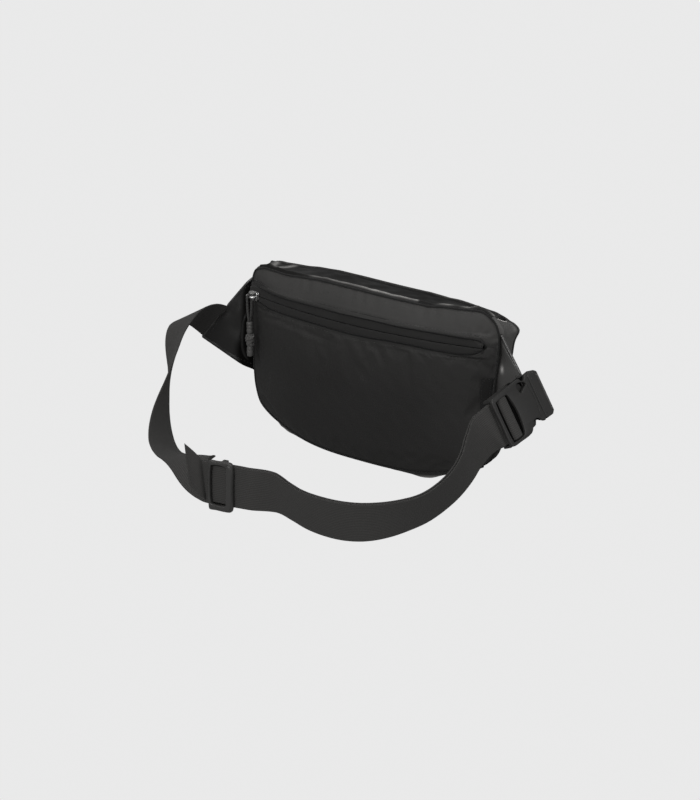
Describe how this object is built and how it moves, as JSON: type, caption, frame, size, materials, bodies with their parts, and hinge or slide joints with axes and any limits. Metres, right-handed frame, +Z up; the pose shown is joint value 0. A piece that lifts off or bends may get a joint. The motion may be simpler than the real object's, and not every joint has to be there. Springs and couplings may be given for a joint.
{
  "type": "throw rope bag",
  "caption": "Waist-worn rope bag: D-shaped zipped pouch with side wings, webbing belt, tri-glide and side-release buckle, coiled floating rope inside.",
  "frame": {"origin": "centre of the flat middle of the front panel", "axes": "+Y out of the front of the bag, away from the wearer; +Z up; +X to the right seen from the wearer's side"},
  "size_m": [0.3862, 0.2639, 0.1658],
  "materials": {
    "ripstop": "matte woven ripstop with a fine grid",
    "coated": "smooth coated tarpaulin fabric, soft gloss",
    "binding": "narrow woven seam binding",
    "zipper": "woven polyester zip tape",
    "zipper_coil": "nylon coil",
    "metal": "gunmetal plated casting",
    "cord": "braided cord",
    "cord_end": "soft moulded rubber",
    "lining": "plain lining fabric",
    "foam": "closed-cell foam",
    "rope": "braided floating rope",
    "wing": "woven fabric over thin foam",
    "label": "plain woven label, blank",
    "webbing": "ribbed polyester webbing",
    "plastic": "moulded acetal, fine satin texture"
  },
  "bodies": {
    "bag": {"back_panel_upper": "ripstop", "back_panel_lower": "ripstop", "front_panel_upper": "coated", "front_panel_lower": "coated", "gusset_top": "coated", "gusset_right": "coated", "gusset_bottom": "coated", "gusset_left": "coated", "back_seam_binding": "binding", "front_seam_binding": "binding", "back_zip_tape_upper": "zipper", "back_zip_tape_lower": "zipper", "back_zip_coil": "zipper_coil", "front_zip_tape_upper": "zipper", "front_zip_tape_lower": "zipper", "front_zip_coil": "zipper_coil", "pocket_lining": "lining", "back_foam_pad": "foam", "throw_rope": "rope", "float_foam": "foam", "wing_left": "wing", "wing_right": "wing", "side_label": "label", "belt_webbing": "webbing", "buckle_tab": "webbing", "buckle_base": "plastic"},
    "back_slider": {"back_zip_slider": "metal"},
    "back_pull": {"back_pull_cord": "cord", "back_cord_end": "cord_end"},
    "front_slider": {"front_zip_slider": "metal"},
    "front_pull": {"front_pull_cord": "cord", "front_cord_end": "cord_end"},
    "buckle_female": {"buckle_housing": "plastic"},
    "latch_upper": {"latch_prong_upper": "plastic"},
    "latch_lower": {"latch_prong_lower": "plastic"},
    "glide": {"tri_glide": "plastic"}
  },
  "joints": [
    {"name": "back_zip_travel", "type": "hinge", "parent": "bag", "child": "back_slider", "pos_m": [0, 0.432, 0.053], "axis": [0, 0, 1], "range_deg": [0, 27]},
    {"name": "back_pull_swing", "type": "hinge", "parent": "back_slider", "child": "back_pull", "pos_m": [-0.12349, -0.06097, 0.053], "axis": [-0.97, 0.243, 0], "range_deg": [0, 100]},
    {"name": "front_zip_travel", "type": "hinge", "parent": "bag", "child": "front_slider", "pos_m": [0, -0.8012, 0.053], "axis": [0, 0, -1], "range_deg": [0, 13.4]},
    {"name": "front_pull_swing", "type": "hinge", "parent": "front_slider", "child": "front_pull", "pos_m": [-0.09698, 0.00116, 0.053], "axis": [0.9928, 0.12, 0], "range_deg": [0, 100]},
    {"name": "buckle_release", "type": "slide", "parent": "bag", "child": "buckle_female", "axis": [-0.0839, -0.9792, -0.1848], "range_m": [0, 0.045], "deforming": ["belt_webbing", "latch_prong_upper", "latch_prong_lower"]},
    {"name": "latch_squeeze_upper", "type": "hinge", "parent": "bag", "child": "latch_upper", "pos_m": [0.17375, -0.06281, 0.03199], "axis": [0.9011, -0.1538, 0.4054], "range_deg": [0, 5], "stiffness_Nm_per_rad": 0.3},
    {"name": "latch_squeeze_lower", "type": "hinge", "parent": "bag", "child": "latch_lower", "pos_m": [0.18311, -0.0599, 0.01229], "axis": [0.9011, -0.1538, 0.4054], "range_deg": [-5, 0], "stiffness_Nm_per_rad": 0.3},
    {"name": "glide_travel", "type": "slide", "parent": "bag", "child": "glide", "axis": [0.9958, 0.0453, 0.0792], "range_m": [0, 0.012]}
  ],
  "couplings": [
    {"joint": "latch_squeeze_lower", "follows": "latch_squeeze_upper", "ratio": -1}
  ]
}
